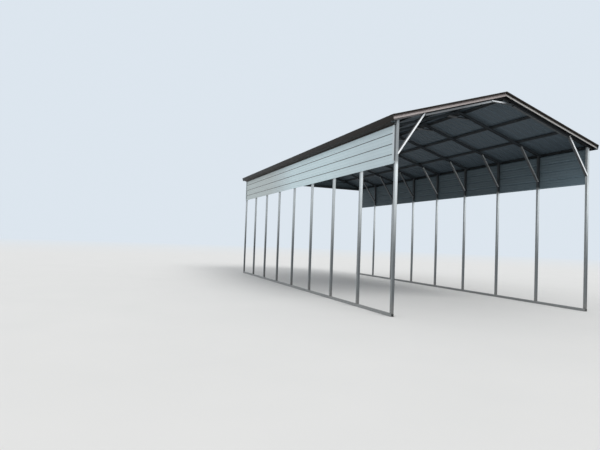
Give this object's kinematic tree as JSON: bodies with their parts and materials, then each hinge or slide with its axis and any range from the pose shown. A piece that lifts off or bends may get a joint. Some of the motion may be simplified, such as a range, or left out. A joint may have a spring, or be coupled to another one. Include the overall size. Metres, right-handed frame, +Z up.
{
  "type": "open steel carport for a motor home",
  "caption": "Tall open carport of square steel tube frames with knee braces, a ribbed gable roof, a band of siding along each eave and a closed rear gable.",
  "frame": {"origin": "on the ground at the middle of the plan", "axes": "+X to the right of someone facing the open front gable, +Y from the open front to the closed rear gable, +Z up"},
  "size_m": [6.15, 12.499, 5.1946],
  "materials": {
    "galvanised_tube": "zinc coated square tube, dull grey with faint spangle",
    "brace_steel": "bright zinc coated channel",
    "brown_roof_steel": "dark brown painted sheet steel, satin",
    "white_siding_steel": "white painted ribbed sheet steel, satin"
  },
  "bodies": {
    "root": {"base_rail_left": "galvanised_tube", "base_rail_right": "galvanised_tube", "leg_stubs": "galvanised_tube", "leg_left_1": "galvanised_tube", "leg_left_2": "galvanised_tube", "leg_left_3": "galvanised_tube", "leg_left_4": "galvanised_tube", "leg_left_5": "galvanised_tube", "leg_left_6": "galvanised_tube", "leg_left_7": "galvanised_tube", "leg_left_8": "galvanised_tube", "leg_left_9": "galvanised_tube", "leg_right_1": "galvanised_tube", "leg_right_2": "galvanised_tube", "leg_right_3": "galvanised_tube", "leg_right_4": "galvanised_tube", "leg_right_5": "galvanised_tube", "leg_right_6": "galvanised_tube", "leg_right_7": "galvanised_tube", "leg_right_8": "galvanised_tube", "leg_right_9": "galvanised_tube", "bow_1": "galvanised_tube", "bow_2": "galvanised_tube", "bow_3": "galvanised_tube", "bow_4": "galvanised_tube", "bow_5": "galvanised_tube", "bow_6": "galvanised_tube", "bow_7": "galvanised_tube", "bow_8": "galvanised_tube", "bow_9": "galvanised_tube", "peak_braces": "brace_steel", "knee_braces_left": "brace_steel", "knee_braces_right": "brace_steel", "bow_channels": "brace_steel", "hat_channels_left": "galvanised_tube", "hat_channels_right": "galvanised_tube", "roof_sheet_left": "brown_roof_steel", "roof_sheet_right": "brown_roof_steel", "ridge_cap": "brown_roof_steel", "rake_trim_front": "brown_roof_steel", "rake_trim_rear": "brown_roof_steel", "eave_trim_left": "brown_roof_steel", "eave_trim_right": "brown_roof_steel", "side_panel_left": "white_siding_steel", "side_panel_right": "white_siding_steel", "end_trims_left": "white_siding_steel", "end_trims_right": "white_siding_steel", "gable_frame": "galvanised_tube", "gable_panel": "white_siding_steel"}
  },
  "joints": []
}
